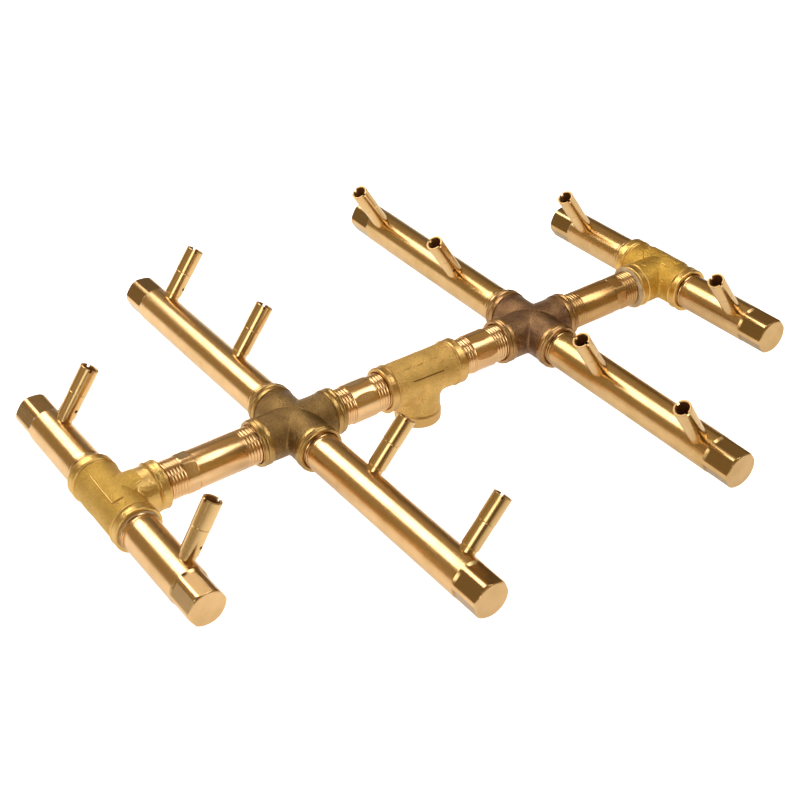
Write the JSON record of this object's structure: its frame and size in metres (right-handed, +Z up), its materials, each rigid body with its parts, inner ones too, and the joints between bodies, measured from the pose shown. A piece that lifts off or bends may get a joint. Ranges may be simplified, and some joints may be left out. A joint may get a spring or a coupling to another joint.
{
  "type": "gas burner assembly",
  "caption": "Brass gas burner of threaded pipe, tees and crosses, with four long and four short arms that carry slanted screw-in jets over a bottom gas inlet.",
  "frame": {"origin": "middle of the gas inlet's annular face, at the bottom of the centre tee's downward branch", "axes": "+X along the main pipe line towards the right end tee, +Y towards the rear arms, +Z up, the way the jets' flames rise; the gas inlet opens along -Z"},
  "size_m": [0.4053, 0.3371, 0.0668],
  "materials": {
    "tee_brass": "forged and tumbled brass of the centre tee and end tees, dull yellow with a slight green cast",
    "cross_brass": "forged brass of the crosses, darkened brown by heat treatment, brighter on its edges and underside",
    "nipple_brass": "turned brass of the pipe nipples, bright, with sharp thread crests",
    "arm_brass": "drawn brass bar of the arms, satin, with polished hexagonal flats and faced ends",
    "jet_brass": "turned brass of the jets, bright",
    "thread_seal": "cured pipe thread sealant, chalky and matt"
  },
  "bodies": {
    "root": {"arm_long_left_front": "arm_brass", "arm_long_left_rear": "arm_brass", "arm_long_right_front": "arm_brass", "arm_long_right_rear": "arm_brass", "arm_short_left_front": "arm_brass", "arm_short_left_rear": "arm_brass", "arm_short_right_front": "arm_brass", "arm_short_right_rear": "arm_brass", "center_tee": "tee_brass", "cross_left": "cross_brass", "cross_right": "cross_brass", "end_tee_left": "tee_brass", "end_tee_right": "tee_brass", "jet_long_left_front_inner": "jet_brass", "jet_long_left_front_outer": "jet_brass", "jet_long_left_rear_inner": "jet_brass", "jet_long_left_rear_outer": "jet_brass", "jet_long_right_front_inner": "jet_brass", "jet_long_right_front_outer": "jet_brass", "jet_long_right_rear_inner": "jet_brass", "jet_long_right_rear_outer": "jet_brass", "jet_short_left_front": "jet_brass", "jet_short_left_rear": "jet_brass", "jet_short_right_front": "jet_brass", "jet_short_right_rear": "jet_brass", "long_nipple_left": "nipple_brass", "long_nipple_right": "nipple_brass", "sealant_center_tee_left": "thread_seal", "sealant_center_tee_right": "thread_seal", "sealant_cross_left_front": "thread_seal", "sealant_cross_left_left": "thread_seal", "sealant_cross_left_rear": "thread_seal", "sealant_cross_left_right": "thread_seal", "sealant_cross_right_front": "thread_seal", "sealant_cross_right_left": "thread_seal", "sealant_cross_right_rear": "thread_seal", "sealant_cross_right_right": "thread_seal", "sealant_end_tee_left_front": "thread_seal", "sealant_end_tee_left_rear": "thread_seal", "sealant_end_tee_left_right": "thread_seal", "sealant_end_tee_right_front": "thread_seal", "sealant_end_tee_right_left": "thread_seal", "sealant_end_tee_right_rear": "thread_seal", "short_nipple_left": "nipple_brass", "short_nipple_right": "nipple_brass"}
  },
  "joints": []
}
